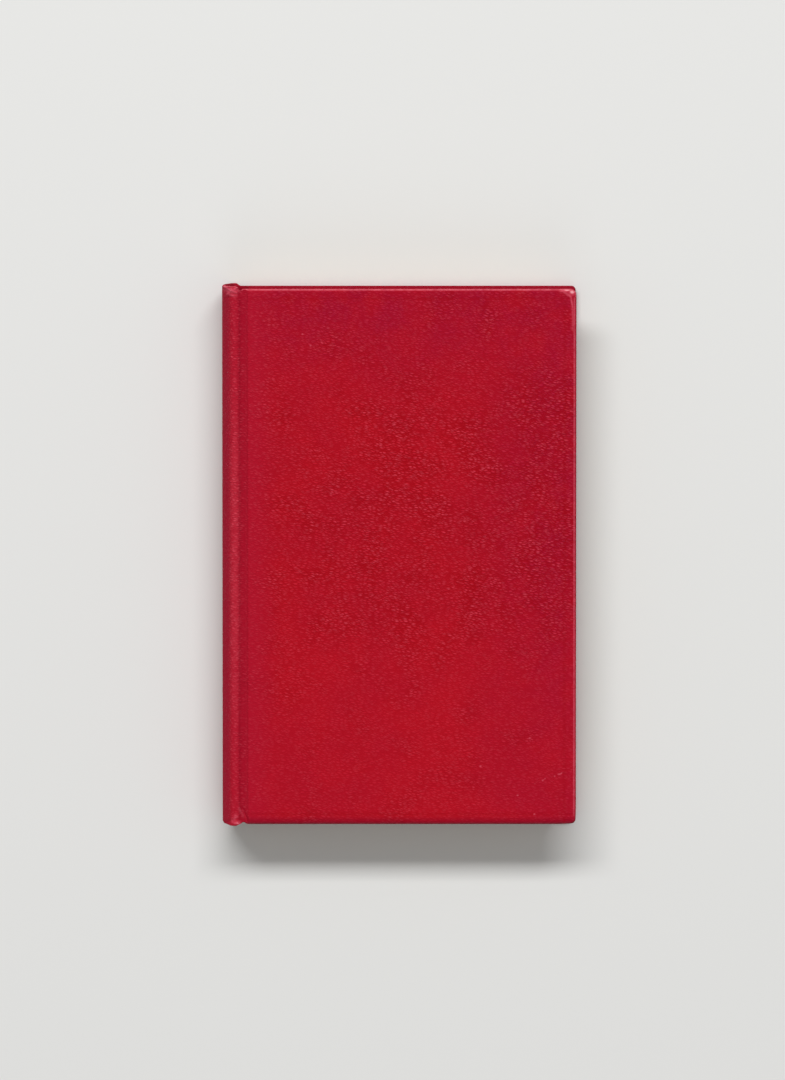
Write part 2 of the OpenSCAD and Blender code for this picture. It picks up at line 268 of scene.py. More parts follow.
def cornerRim(sign):
    # Lines round a fore-edge corner, all from the field's corner: straight, quarter circle, straight
    b, c = book, clothSizes
    centreX, centreY = b["foreX"] - c["cornerR"], b["coverY"] - c["cornerR"]
    sides, bend = clothSteps["cornerSides"], np.linspace(90, 0, clothSteps["corner"] + 1)
    straightX = np.linspace(c["fieldX"], centreX, sides + 2)[1:-1]
    straightY = np.linspace(centreY, c["fieldY"], sides + 2)[1:-1]
    angles = np.radians(np.concatenate([np.full(sides, 90), bend, np.zeros(sides)]))
    x = np.concatenate([straightX, np.full(len(bend) + sides, centreX)])
    y = np.concatenate([np.full(sides + len(bend), centreY), straightY])
    out = xyz(np.cos(angles), sign * np.sin(angles), 0)
    turnX, turnY = b["foreX"] - c["mitreGap"] - straightX, b["coverY"] - c["mitreGap"] - straightY
    return {
        "start": xyz(0 * x + c["fieldX"], sign * c["fieldY"], b["topZ"]),
        "foot": xyz(x, sign * y, b["topZ"]) + out * (c["cornerR"] - b["lipR"]),
        "out": out, "way": xyz(0 * x, 0, -1),
        "height": 0 * x + b["topZ"] - b["turnZ"], "radius": 0 * x + b["lipR"],
        "turn": np.concatenate([turnX, np.full(len(bend), c["cornerTurn"]), turnY]),
    }


def foreRim(y):
    # Lines over the fore-edge
    b, c = book, clothSizes
    return {
        "start": xyz(c["fieldX"], y, b["topZ"]), "foot": xyz(b["foreX"] - b["lipR"], y, b["topZ"]),
        "out": xyz(1, 0 * y, 0), "way": xyz(0, 0 * y, -1),
        "height": 0 * y + b["topZ"] - b["turnZ"], "radius": 0 * y + b["lipR"],
        "turn": np.minimum(b["turnIn"], b["coverY"] - c["mitreGap"] - np.abs(y)),
    }


def wholeRim(outer, inner, rowY, front):
    # Lines in order round the case. Each has a start on the field's border, a foot where the rounding begins,
    # a direction outwards, a way to the inner face, the height between the faces, the rounding's radius and
    # the turn-in's depth.
    parts = [endRim(outer, inner, True, front), cornerRim(1), foreRim(rowY[::-1])]
    for part in (cornerRim(-1), endRim(outer, inner, False, front)):
        parts.append({key: values[::-1] for key, values in part.items()})
    return {key: np.concatenate([part[key] for part in parts]) for key in parts[0]}


def rimRows(rim):
    # Each row is one point of every line: along the face to the foot, a quarter circle over the edge, down
    # the side, a quarter circle under it and in along the turn-in. A row's share counts these stages.
    s = clothSteps
    start, foot, out, way = [rim[key] for key in ("start", "foot", "out", "way")]
    height, radius, turn = [rim[key][:, None] for key in ("height", "radius", "turn")]
    along = 1 - (1 - np.linspace(0, 1, s["edge"] + 1)) ** s["edgePower"]
    rows = [(0, start + (foot - start) * t) for t in along]
    for t in np.linspace(0, 1, s["upper"] + 1)[1:]:
        a = t * math.pi / 2
        rows.append((t, foot + radius * (out * math.sin(a) + way * (1 - math.cos(a)))))
    for t in s["side"]:
        rows.append((1 + t, foot + out * radius + way * (radius + (height - 2 * radius) * t)))
    for t in np.linspace(0, 1, s["lower"] + 1):
        a = t * math.pi / 2
        rows.append((2 + t, foot + way * height + radius * (out * math.cos(a) - way * (1 - math.sin(a)))))
    for t in s["turnIn"]:
        rows.append((3 + t, foot + way * height - out * (turn - radius).clip(0) * t))
    shares, points = zip(*rows)
    return np.array(points), np.repeat(shares, len(start))


wear = {
    # Creases in the cloth: X and Y of both ends, width, height (negative is a fold inwards) and the strength
    # of rub and painted highlight on them
    "creases": [
        (-47.7, 73.9, -44.6, 72.5, 0.3, 0.24, 1.0), (-46.9, 72.0, -44.2, 74.0, 0.28, 0.22, 0.9),
        (-43.9, 74.1, -43.3, 72.5, 0.26, -0.3, 0), (-46.4, 71.9, -44.6, 71.6, 0.25, 0.14, 0.9),
        (-47.9, 70.4, -46.7, 71.2, 0.3, -0.1, 0),
        (-47.4, -73.2, -45.0, -72.0, 0.3, -0.16, 0), (-45.0, -73.2, -43.6, -73.4, 0.3, 0.15, 0.9),
        (-43.0, -69.2, -41.8, -71.9, 0.3, -0.2, 0), (-43.9, -69.2, -42.8, -71.2, 0.35, 0.12, 0.4),
        (-45.4, -71.2, -44.9, -69.6, 0.25, -0.12, 0), (-45.2, -71.9, -44.4, -71.4, 0.25, 0.1, 0.7),
        (44.7, 72.9, 46.9, 71.4, 0.24, 0.06, 0.9), (46.9, 71.4, 47.4, 68.6, 0.24, 0.06, 0.8),
        (47.4, 68.0, 47.6, 62.0, 0.25, 0.01, 0.45), (42.0, 71.9, 45.5, 72.2, 0.3, -0.03, 0),
    ],
    # Fore-edge corners knocked at the tail and at the head: X, Y, reach and shift
    "knocks": [(49.0, -74.0, 3.0, (-0.12, 0.24, -0.15)), (48.9, 73.9, 1.3, (-0.35, -0.35, 0))],
    # Rubbed patches with painted highlight: X, Y, half width, half height and strength
    "patches": [
        (-46.1, 73.1, 1.9, 0.8, 0.95), (-43.8, 73.1, 0.5, 0.5, 0.7), (47.3, 72.7, 0.9, 0.7, 1.5),
        (45.9, 73.1, 1.5, 0.4, 1.2), (-44.9, -71.2, 0.5, 0.5, 0.5), (-44.3, -73.2, 0.8, 0.45, 1.15),
        (-45.6, -72.6, 0.7, 0.5, 0.5),
    ],
    # Rub and painted highlight along the rounded edges: where on the rounding (0 top, 1 side), half width and
    # strength, strongest at the head, which faces the key light, and weakest at the tail. Head and tail have
    # theirs from a Y outwards.
    "headRubAndSheen": (0.49, 0.12, 1.2), "tailRubAndSheen": (0.42, 0.2, 0.2), "foreRubAndSheen": (0.22, 0.25, 0.7), "endsFrom": 71.0,
    "bareAndLitFrom": (0.85, 1.35), # how strong rub and painted highlight are where the cloth begins to look bare, and where it looks bare
    # Light scratch: its ends, its wobble's length and amount, its dashes' length and ramp, and half width
    "scratch": ((36.8, -62.4), (47.6, -58.2)), "wobble": (2.5, 1.6), "dash": (1.1, 1.0),
    "dashes": (0.48, 0.62), "line": (0.3, 0.05),
    # Small flecks, wider than high, and their radius
    "flecks": [(35.8, -49.8), (22.3, -57.5), (32.5, -65.5), (37.1, -70.7), (-26.4, 61.1), (-24.2, 58.0)],
    "fleckFlat": 1.8, "fleckR": (0.42, 0.12),
}


def clothLift(x, y, share, front):
    # Height above the smooth cloth: slow waves below it, a slight sink where the pages end, and the front's
    # creases. The first two fade as the cloth rounds the edge, and the creases a little further on.
    b, c = book, clothSizes
    onFace = 1 - smoothStep(share, *clothShares["waves"])
    fromFore, fromEnds = b["foreX"] - x, b["coverY"] - np.abs(y)
    edge = np.minimum.reduce([fromFore, b["capOut"] + fromEnds, (x - c["calmFrom"]) / c["calmSlope"]])
    slow = waves(x, y, c["bulgeLength"], c["frontSeed" if front else "backSeed"]).clip(-1, 1)
    lift = -c["bulge"] * (0.5 + 0.5 * slow) * smoothStep(edge, 0, c["calm"]) * onFace
    sinks = ((fromFore, c["sinkFore"], 1), (fromEnds, c["sinkEnds"], x > c["sinkFrom"]))
    for distance, (inside, depth), there in sinks:
        lift = lift - depth * hump(distance, inside, c["sinkWidth"]) * there * onFace
    if front:
        for *line, height, _ in wear["creases"]:
            lift = lift + height * creaseShape(x, y, *line)
    return lift * (1 - smoothStep(share, *clothShares["creases"]))


def clothRubAndSheen(x, y, share, front):
    # How rubbed the cloth is, with painted highlight mixed in: along its rounded edges and, on the front, on
    # creases and in patches
    ends = wear["endsFrom"]
    rubAndSheen = np.zeros(len(x))
    for key, zone in (("headRubAndSheen", y > ends), ("tailRubAndSheen", y < -ends), ("foreRubAndSheen", np.abs(y) <= ends)):
        at, width, strength = wear[key]
        rubAndSheen += zone * (share > 0) * strength * hump(share, at, width)
    if front:
        for *line, _, rubbedAndLit in wear["creases"]:
            crease = rubbedAndLit * creaseShape(x, y, *line)
            rubAndSheen = np.maximum(rubAndSheen, crease * (share < clothShares["creaseRubAndSheen"]))
        for patchX, patchY, halfX, halfY, strength in wear["patches"]:
            patch = strength * hump(x, patchX, halfX) * hump(y, patchY, halfY)
            rubAndSheen = np.maximum(rubAndSheen, patch * (share < clothShares["patchRubAndSheen"]))
    return rubAndSheen


def caseCloth(name, front):
    # The section carried along Y, with rows that get closer towards head and tail, and the rim round it
    outer, inner = caseSection()
    half = 1 - (1 - np.linspace(0, 1, clothSteps["half"] + 1)) ** clothSteps["halfPower"]
    half = clothSizes["fieldY"] * half
    rowY = np.concatenate([-half[:0:-1], half])
    rim = wholeRim(outer, inner, rowY, front)
    rows, rimShare = rimRows(rim)
    field = xyz(outer[:, 0], rowY[:, None], outer[:, 1])
    down = inner - outer
    fieldWay = np.insert(down / np.hypot(*down.T)[:, None], 1, 0, axis=1)
    points = np.concatenate([field.reshape(-1, 3), rows.reshape(-1, 3)])
    way = np.concatenate([np.tile(fieldWay, (len(rowY), 1)), np.tile(rim["way"], (len(rows), 1))])
    fieldCount = len(rowY) * len(outer)
    share = np.concatenate([np.zeros(fieldCount), rimShare])
    x, y = points[:, 0], points[:, 1]
    turned = smoothStep(share, *clothShares["turned"])
    attributes = {"rubAndSheen": clothRubAndSheen(x, y, share, front), "turned": turned}
    worn = points - way * clothLift(x, y, share, front)[:, None]
    if front:
        for knockX, knockY, reach, shift in wear["knocks"]:
            worn = worn + np.exp(-(np.hypot(x - knockX, y - knockY) / reach) ** 2)[:, None] * shift
    else:
        worn[:, 2] = book["topZ"] - worn[:, 2]
    faces = np.concatenate([gridFaces(*field.shape[:2]), gridFaces(*rows.shape[:2], fieldCount)])
    return makeSheet(name, worn, faces, front, book["cloth"], attributes)


def bentCase(side, front):
    # Half of the covering cloth, in place of the CAD cloth, with its place baked in
    cloth = caseCloth(side + "Case", front)
    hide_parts(side + "_cloth", "spine_cloth")
    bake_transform(cloth)
    return cloth


frontCloth, backCloth = bentCase("front", True), bentCase("back", False)
print("case cloth made", len(frontCloth.data.polygons), len(backCloth.data.polygons))


# Endpapers: the flyleaf lies on the pages and climbs the shoulder's flank. The pastedown starts there, folds
# over and runs down the board's side and out under the board.
paperSizes = {
    "thickness": 0.12, "halfHeight": 71.0, "foreX": 45.45,
    "flyTop": 14.90, "pasteBottom": 15.05, "upX": -41.9, "downX": -41.8, "foldZ": 16.35, "corner": 0.3,
    "bare": 0.38, "overFlap": 0.16, # rise of the pastedown over the bare board and over the flap of mull
    "flapX": -21.2, "flapY": 60.2, "flapEaseX": 1.0, "flapEaseY": 0.9, # where the flap ends, and how softly
    "turnInX": 36.5, "turnInY": 61.5, "turnInEase": (-0.8, 0.2), # where the turned-in cloth ends
    "sideX": (-41.4, -40.0), # X between which the paper levels out beside the joint
    "wave": 0.02, "waveLength": 46.0, "waveSeed": 5, "waveX": (-38, -20), # slow waves of the flyleaf
}
# Steps of the paper's grid: in half its height, along flyleaf and pastedown, in the fold, in the quarter
# circles and up the flank, and the dense rows round each step in the sheet
paperSteps = {
    "half": 35, "fly": 43, "paste": 49, "fold": 24, "turn": 7, "climb": 3, "dense": 6, "denseHalf": 0.75,
}


def steppedRange(low, high, middles, steps):
    # Values from low to high, evenly spaced, with a dense group round each step in the sheet
    dense = np.linspace(-paperSteps["denseHalf"], paperSteps["denseHalf"], paperSteps["dense"] + 1)
    near = [middle + dense for middle in middles]
    return np.unique(np.concatenate([np.linspace(low, high, steps + 1)] + near).clip(low, high))


def paperSheet(name, path, lift, visibleUp, front):
    # A path in X and Z carried along Y, and raised by a function of X and Y. Its visible face is the one
    # modelled, and the paper's thickness lies behind it.
    p = paperSizes
    y = steppedRange(0, p["halfHeight"], [p["flapY"] + 0.3, p["turnInY"] - 0.2], paperSteps["half"])
    y = np.unique(np.concatenate([-y, y]))
    sheet = xyz(path[:, 0], y[:, None], path[:, 1])
    sheet[..., 2] += lift(sheet[..., 0], sheet[..., 1])
    if not front:
        sheet[..., 2] = book["topZ"] - sheet[..., 2]
    faces = gridFaces(*sheet.shape[:2])
    return makeSheet(name, sheet.reshape(-1, 3), faces, visibleUp == front, p["thickness"])


def flyleafLift(x, y):
    # The free leaf waves a little, never above the fold's height
    p = paperSizes
    slow = waves(x, y, p["waveLength"], p["waveSeed"]).clip(-1, 1)
    return -p["wave"] * (1 + slow) * smoothStep(x, *p["waveX"])


def pastedownLift(x, y):
    # Smooth steps where the turned-in cloth ends, and a lower one over the flap of mull
    p = paperSizes
    y = np.abs(y)
    before, after = p["turnInEase"]
    insideX = 1 - smoothStep(x, p["turnInX"] + before, p["turnInX"] + after)
    insideY = 1 - smoothStep(y, p["turnInY"] + before, p["turnInY"] + after)
    flapX = 1 - smoothStep(x, p["flapX"], p["flapX"] + p["flapEaseX"])
    flapY = 1 - smoothStep(y, p["flapY"], p["flapY"] + p["flapEaseY"])
    rise = p["bare"] + (p["overFlap"] - p["bare"]) * flapX * flapY
    return insideX * insideY * rise * smoothStep(x, *p["sideX"])


def flyleafPath():
    # In from the fore-edge, a quarter circle, and up the shoulder's flank
    p, s = paperSizes, paperSteps
    r = p["corner"]
    flat = np.linspace(p["foreX"], p["upX"] + r, s["fly"] + 1)
    flat = np.stack([flat, 0 * flat + p["flyTop"]], axis=1)
    turn = arc(p["upX"] + r, p["flyTop"] + r, r, np.linspace(270, 180, s["turn"] + 1)[1:])
    climb = np.linspace(p["flyTop"] + r, p["foldZ"], s["climb"] + 1)[1:]
    return np.concatenate([flat, turn, np.stack([0 * climb + p["upX"], climb], axis=1)])


def pastedownPath():
    # Half circle between the flanks, straight down the board's side, a quarter circle and out under the board
    p, s = paperSizes, paperSteps
    r, foldR = p["corner"], (p["downX"] - p["upX"]) / 2
    fold = arc(p["upX"] + foldR, p["foldZ"], foldR, np.linspace(180, 0, s["fold"] + 1))
    turn = arc(p["downX"] + r, p["pasteBottom"] + r, r, np.linspace(180, 270, s["turn"] + 1))
    flat = steppedRange(p["downX"] + r, p["foreX"], [p["flapX"] + 0.5, p["turnInX"] - 0.3], s["paste"])[1:]
    return np.concatenate([fold, turn, np.stack([flat, 0 * flat + p["pasteBottom"]], axis=1)])


def endpapers(side, front):
    # One folded sheet, made as two: a flyleaf on the pages, which follows the book block, and a pastedown on
    # the board, which folds over where they meet
    fly = paperSheet(side + "Flyleaf", flyleafPath(), flyleafLift, True, front)
    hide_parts(side + "_flyleaf")
    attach(fly, "book_block")
    paste = paperSheet(side + "Pastedown", pastedownPath(), pastedownLift, False, front)
    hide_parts(side + "_pastedown")
    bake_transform(paste)
    return [fly, paste]


papers = endpapers("front", True) + endpapers("back", False)
print("endpapers made", [len(sheet.data.polygons) for sheet in papers])


# Shader maths on sockets
class Wire:
    # The output of a node. An operator on it adds one Math node.
    def __init__(self, sheet, socket):
        self.sheet, self.socket = sheet, socket

    def __add__(self, other):
        return maths("ADD", self, other)

    def __radd__(self, other):
        return maths("ADD", other, self)

    def __sub__(self, other):
        return maths("SUBTRACT", self, other)

    def __rsub__(self, other):
        return maths("SUBTRACT", other, self)

    def __mul__(self, other):
        return maths("MULTIPLY", self, other)

    def __rmul__(self, other):
        return maths("MULTIPLY", other, self)

    def __truediv__(self, other):
        return maths("DIVIDE", self, other)

    def __rtruediv__(self, other):
        return maths("DIVIDE", other, self)

    def __abs__(self):
        return maths("ABSOLUTE", self)


def maths(operation, *values):
    # One Math node, on the sheet of the first value that is a wire
    sheet = next(v.sheet for v in values if isinstance(v, Wire))
    return sheet.node("ShaderNodeMath", {"operation": operation}, list(values))


class Finish:
    # One material: its nodes, the shader that they feed, and the place on the piece in millimetres
    def __init__(self, name, **constants):
        self.material = bpy.data.materials.new(name)
        self.material.use_nodes = True
        self.tree = self.material.node_tree
        self.shader = self.tree.nodes["Principled BSDF"]
        for key, value in constants.items():
            self.shader.inputs[key.replace("_", " ")].default_value = value
        here = self.node("ShaderNodeTexCoord", out=3)
        self.place = self.node("ShaderNodeVectorMath", {"operation": "SCALE"}, {0: here, "Scale": 1 / mm})
        self.x, self.y, self.z = self.parts(self.node("ShaderNodeSeparateXYZ", None, [self.place]))

    def node(self, kind, settings=None, values=None, out=0):
        # One node: its settings first, then its values or links by name or in order, and one output
        made = self.tree.nodes.new(kind)
        for key, value in (settings or {}).items():
            setattr(made, key, value)
        pairs = values.items() if isinstance(values, dict) else enumerate(values or [])
        for key, value in pairs:
            if isinstance(value, Wire):
                self.tree.links.new(value.socket, made.inputs[key])
            else:
                made.inputs[key].default_value = value
        return Wire(self, made.outputs[out])

    def parts(self, wire):
        # All outputs of the node that made a wire
        return [Wire(self, socket) for socket in wire.socket.node.outputs]

    def join(self, x, y, z):
        # A vector from three wires or numbers
        return self.node("ShaderNodeCombineXYZ", None, [x, y, z])

    def turned(self, vector, angle):
        # Pattern space turned about Z
        turn = (0, 0, math.radians(angle))
        return self.node("ShaderNodeMapping", {"vector_type": "POINT"}, {"Vector": vector, "Rotation": turn})

    def stretched(self, vector, scale):
        # Pattern space scaled, so that a pattern is longer where the scale is below 1
        return self.node("ShaderNodeMapping", {"vector_type": "POINT"}, {"Vector": vector, "Scale": scale})

    def noise(self, vector, length, detail=2.0, roughness=0.5, out=0):
        # Noise whose largest waves have about the given length
        values = {"Vector": vector, "Scale": 1 / length, "Detail": detail, "Roughness": roughness}
        return self.node("ShaderNodeTexNoise", None, values, out)

    def clouds(self, noise, ramp):
        # A noise at the place on the piece, cut by a ramp
        return self.ramp(self.noise(self.place, *noise), *ramp)

    def cells(self, vector, length, feature):
        # Cells of about the given length, by the distance to their edge or to their middle
        values = {"Vector": vector, "Scale": 1 / length}
        return self.node("ShaderNodeTexVoronoi", {"feature": feature}, values)

    def warped(self, vector, length, amount):
        # The place moved by a noise, up to about half the amount each way
        shift = self.noise(vector, length, 1.0, 0.5, 1)
        shift = self.node("ShaderNodeVectorMath", {"operation": "SUBTRACT"}, [shift, (0.5, 0.5, 0.5)])
        shift = self.node("ShaderNodeVectorMath", {"operation": "SCALE"}, {0: shift, "Scale": amount})
        return self.node("ShaderNodeVectorMath", {"operation": "ADD"}, [vector, shift])

    def ramp(self, value, low, high, start=0.0, end=1.0):
        # Smooth step from start to end as value goes from low to high
        settings = {"interpolation_type": "SMOOTHSTEP"}
        return self.node("ShaderNodeMapRange", settings, [value, low, high, start, end])

    def band(self, value, middle, reach, core):
        # 1 within the core of the middle, and down to 0 at its reach
        return self.ramp(abs(value - middle), reach, core)

    def distance(self, x, y, weightX=1, weightY=1):
        # Distance in X and Y from a point, with a weight on each square
        dx, dy = self.x - x, self.y - y
        return maths("SQRT", dx * dx * weightX + dy * dy * weightY)

    def blend(self, factor, first, second):
        # Inputs 0, 6 and 7 and output 2 are the factor and the colours of a Mix node
        return self.node("ShaderNodeMix", {"data_type": "RGBA"}, {0: factor, 6: first, 7: second}, 2)

    def value(self, name):
        # The piece's own attribute of that name
        return self.node("ShaderNodeAttribute", {"attribute_name": name}, out=2)

    def feed(self, **sockets):
        # Links wires to the shader's sockets
        for key, wire in sockets.items():
            self.tree.links.new(wire.socket, self.shader.inputs[key.replace("_", " ")])

    def relief(self, height, distance):
        # Bumps whose height 1 stands for the distance in millimetres
        self.feed(Normal=self.node("ShaderNodeBump", None, {"Height": height, "Distance": distance * mm}))


def colour(red, green, blue):
    # Colour as written on screen, 0 to 255, to linear light
    screen = [v / 255 for v in (red, green, blue)]
    return tuple(((v + 0.055) / 1.055) ** 2.4 if v > 0.04045 else v / 12.92 for v in screen) + (1.0,)


def paint(thing, finish):
    # The finish becomes the piece's only material
    thing.data.materials.clear()
    thing.data.materials.append(finish.material)


grainSizes = {
    # A pebble's length, its lean in degrees, its stretch along and across, and the warp's length and amount
    "pebble": 0.72, "lean": 10, "stretch": (0.58, 1.62, 1.0), "warp": (3.0, 0.9),
    # Ramps of the distance to a cell's edge and to its middle, and of a random number for each cell
    "valley": (0.0, 0.32), "top": (0.62, 0.08), "glint": (0.46, 0.1), "picked": (0.4, 0.97),
    # The grain is strongest round a middle, wider than high, is calmer at the tail, and comes in drifts
    "middle": (24, 10, 0.35, 0.8), "middleReach": (52.0, 8.0, -0.06, 0.08),
    "calmTail": (-5.0, -42.0, 1.0, 0.74), "onSpine": (-41.0, -45.0, 0.0, 0.22),
    # Noises: length, detail and roughness, and the ramp that cuts them
    "drift": (11.0, 4.0, 0.6), "drifts": (0.4, 0.66), "fine": (0.28, 3.0, 0.6), "big": (2.6, 2.0, 0.5),
    "mottle": ((19.0, 3.0, 0.55), (0.36, 0.64)), "patch": ((9.0, 2.0, 0.6), (0.3, 0.7, 0.3, 0.85)),
    "broken": ((1.6, 3.0, 0.65), (0.3, 0.62)), "relief": 0.1,
}
# The valley, inner and darkest colours are painted shade, the glint is a painted highlight, and the pale
# rubbed, scuffed and bare colours are partly wear and partly painted highlight
clothColours = {
    "red": colour(176, 16, 35), "deep": colour(165, 15, 39), "bright": colour(181, 17, 34),
    "cool": colour(153, 13, 49), "rubbedAndLit": colour(212, 84, 104), "glint": colour(216, 72, 92),
    "valley": colour(144, 0, 8), "scuffAndSheen": colour(206, 68, 84), "bare": colour(238, 172, 178),
    "inner": colour(122, 0, 24), "paintedShade": colour(104, 0, 26),
}
# Where the cloth's colour changes, in millimetres: ramps from one place to another, with the values that they
# run between if not 0 and 1, and bands with middle, reach and core
clothZones = {
    "coolFore": (10.0, 50.0), "coolTail": (-62.0, 5.0, 0.45, 1.0), "coolHead": (36.0, 72.0),
    "deepJoint": (-32.0, -41.0), "flank": (-45.7, -47.0), "onBoard": (-42.0, -40.0),
    "crest": (-44.95, 2.1, 0.3), "crestHigh": (13.6, 15.8), "crestMiddle": (60.0, 15.0, 0.25, 1.0),
    "groove": (-43.0, 1.5, 0.5), "boardLine": (-41.75, 0.55, 0.1), "jointHigh": (12.0, 15.0),
    "dipFore": (45.3, 0.7, 0.1), "dipEnds": (70.7, 0.7, 0.1), "faceHigh": (17.0, 17.7),
    # Painted shade towards the tail's edge, past the joint, and round the tail's fore-edge corner
    "tailShade": (-70.7, -73.6), "pastJoint": (-43.0, -40.5), # towards the tail's edge, past the joint
    "cornerShade": (49, -74), "cornerReach": (3.6, 0.8), "markHigh": (17.0, 17.6),
}


def grainPattern(f):
    # Warped cells, each a low pebble with a valley round it, longer along one slanting direction. Their tops
    # carry a faint painted highlight, some more than others, and bright painted glints in drifts.
    g = grainSizes
    lean = f.stretched(f.turned(f.warped(f.place, *g["warp"]), g["lean"]), g["stretch"])
    pebble = f.ramp(f.cells(lean, g["pebble"], "DISTANCE_TO_EDGE"), *g["valley"])
    fromTop, cellColour = f.parts(f.cells(lean, g["pebble"], "F1"))[:2]
    pick = f.parts(f.node("ShaderNodeSeparateXYZ", None, [cellColour]))[0]
    middle = f.ramp(f.distance(*g["middle"]), *g["middleReach"])
    drift = f.noise(f.place, *g["drift"]) + middle + f.ramp(f.x, *g["onSpine"])
    drift = f.ramp(drift, *g["drifts"])
    calm = f.ramp(f.y, *g["calmTail"])
    return {
        "valley": 1 - pebble, "drift": drift, "calm": calm, "strong": (drift * 0.4 + 0.68) * calm,
        "tops": f.ramp(fromTop, *g["top"]) * (0.35 + pick * 0.65),
        "glint": f.ramp(fromTop, *g["glint"]) * f.ramp(pick, *g["picked"]) * (drift * 0.9 + 0.1),
    }


# A layer of colour has a mask, the share that the colour takes where the mask is 1, and the colour's name
def faceLayers(f, grain):
    # Slow mottling, cooler towards head and fore-edge, then painted shade in the grain's valleys and
    # painted shade towards the joint, and painted highlights on the grain's tops and glints
    zones = clothZones
    foreCool = f.ramp(f.x, *zones["coolFore"]) * f.ramp(f.y, *zones["coolTail"])
    cool = maths("MAXIMUM", foreCool, f.ramp(f.y, *zones["coolHead"]))
    calm, drift = grain["calm"], grain["drift"]
    return [
        (1, 0.6, "red"),
        (cool * f.clouds(*grainSizes["patch"]), 1, "cool"),
        # Painted shade in the grain's valleys
        (grain["valley"] * grain["strong"], 0.66, "valley"),
        # Painted shade, darker towards the joint's groove
        (f.ramp(f.x, *zones["deepJoint"]), 0.8, "deep"),
        # Painted highlights on the grain's tops, and painted glints
        (grain["tops"] * (0.16 + drift * 0.2) * calm, 1, "glint"),
        (grain["glint"] * calm * calm, 0.34, "glint"),
    ]


def jointLayers(f, height, flank):
    # Painted shade in the groove with a faint painted highlight along the board's edge, painted shade towards
    # the tail edge and its fore-edge corner, darker cooler painted shade on the spine's flank, painted shade
    # on the turn-ins, and in the faint dip where the pages end
    zones = clothZones
    high = f.ramp(height, *zones["jointHigh"])
    # Painted shade towards the tail's edge and at its fore-edge corner
    tail = f.ramp(f.y, *zones["tailShade"]) * f.ramp(f.x, *zones["pastJoint"])
    corner = f.ramp(f.distance(*zones["cornerShade"]), *zones["cornerReach"])
    dip = f.band(abs(f.y), *zones["dipEnds"]) * f.ramp(f.x, *zones["onBoard"])
    dip = maths("MAXIMUM", f.band(f.x, *zones["dipFore"]), dip) * f.ramp(height, *zones["faceHigh"])
    return [
        # Painted shade in the groove
        (f.band(f.x, *zones["groove"]) * high, 0.2, "paintedShade"),
        # Painted highlight: a faint pale line along the board's edge beside the groove
        (f.band(f.x, *zones["boardLine"]) * high, 0.03, "rubbedAndLit"),
        # Painted shade along the tail's edge and at its corner
        (maths("MAXIMUM", tail, corner), 0.68, "paintedShade"),
        # Painted shade on the spine's flank, darker and cooler where it turns away from the light, with a
        # faint paler tint
        (flank * flank, 0.35, "cool"),
        (flank, 0.03, "rubbedAndLit"),
        # Painted shade on the turned-in cloth
        (f.value("turned"), 0.65, "inner"),
        # Painted shade in the faint dip where the pages end
        (dip, 0.22, "valley"),
    ]


def rubLayers(f, height, grain, edgeRubAndSheen, broken):
    # Rubbed edges and corners with painted highlight, palest where both are strongest, and the scuffed crest
    # of the ridge with a painted sheen
    zones = clothZones
    # Painted sheen on the ridge's crest, mixed with scuffing
    crest = f.band(f.x, *zones["crest"]) * f.ramp(height, *zones["crestHigh"])
    crest = crest * f.ramp(abs(f.y), *zones["crestMiddle"])
    return [
        # Painted highlight mixed with rub along the edges, creases and patches
        (maths("MINIMUM", edgeRubAndSheen * 0.85, 0.9), 1, "rubbedAndLit"),
        # Palest where rub and painted highlight are strongest
        (f.ramp(f.value("rubAndSheen"), *wear["bareAndLitFrom"]) * (0.35 + broken * 0.65), 0.9, "bare"),
        # Painted sheen and scuff on the crest
        (crest * (0.2 + broken * 0.3 + grain["tops"] * 0.75), 0.5, "scuffAndSheen"),
    ]


def markLayer(f):
    # Dashed scratch and flecks, by the distance to a line and to points
    (x0, y0), (x1, y1) = wear["scratch"]
    length = math.hypot(x1 - x0, y1 - y0)
    dx, dy = (x1 - x0) / length, (y1 - y0) / length
    along = (f.x - x0) * dx + (f.y - y0) * dy
    wobbleLength, wobble = wear["wobble"]
    aside = (f.noise(f.join(along, 0.0, 0.0), wobbleLength) - 0.5) * wobble
    across = abs((f.x - x0) * dy - (f.y - y0) * dx + aside)
    dash = f.ramp(f.noise(f.join(along, 7.0, 0.0), *wear["dash"]), *wear["dashes"])
    mark = f.ramp(across, *wear["line"]) * dash * f.band(along, length / 2, length / 2, length / 2 - 1)
    for fleckX, fleckY in wear["flecks"]:
        fleck = f.ramp(f.distance(fleckX, fleckY, 1, wear["fleckFlat"]), *wear["fleckR"])
        mark = maths("MAXIMUM", mark, fleck)
    return mark * f.ramp(f.z, *clothZones["markHigh"]), 0.5, "rubbedAndLit"


